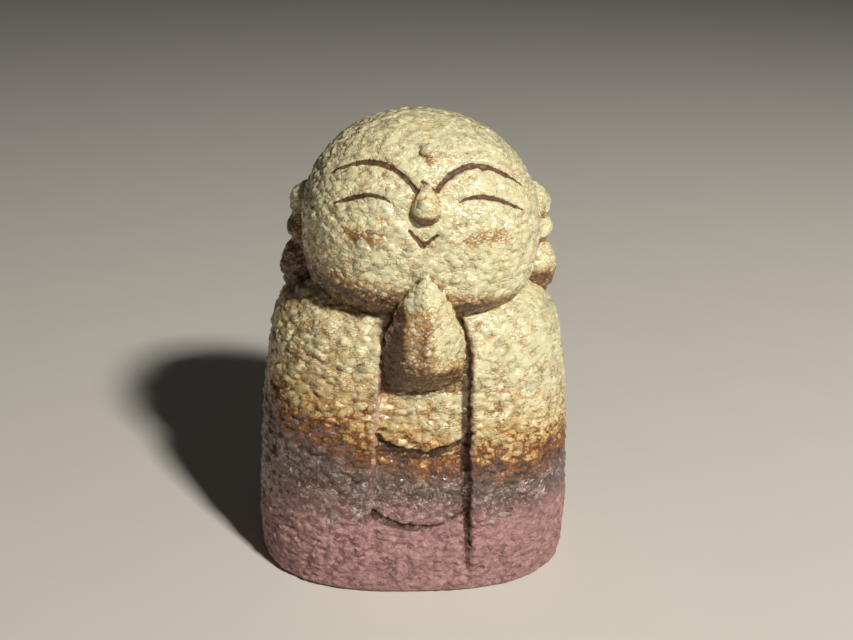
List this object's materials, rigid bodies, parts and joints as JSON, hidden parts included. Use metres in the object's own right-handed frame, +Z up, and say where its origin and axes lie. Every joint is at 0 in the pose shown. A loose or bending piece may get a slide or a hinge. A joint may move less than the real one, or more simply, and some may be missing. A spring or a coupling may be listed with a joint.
{
  "type": "ceramic jizo statue",
  "caption": "Small round-headed ceramic jizo with closed eyes, palms together and a tiered robe, standing on its flat underside.",
  "frame": {"origin": "middle of the flat underside of the foot", "axes": "+Z up along the figure, -Y the way its face and hands point, +X its left-hand side"},
  "size_m": [0.1392, 0.1107, 0.2],
  "materials": {
    "glazed_stoneware": "glossy cream glaze above, rust and dark grey band, bare dusty pink clay below"
  },
  "bodies": {
    "root": {"jizo_figure": "glazed_stoneware"}
  },
  "joints": []
}
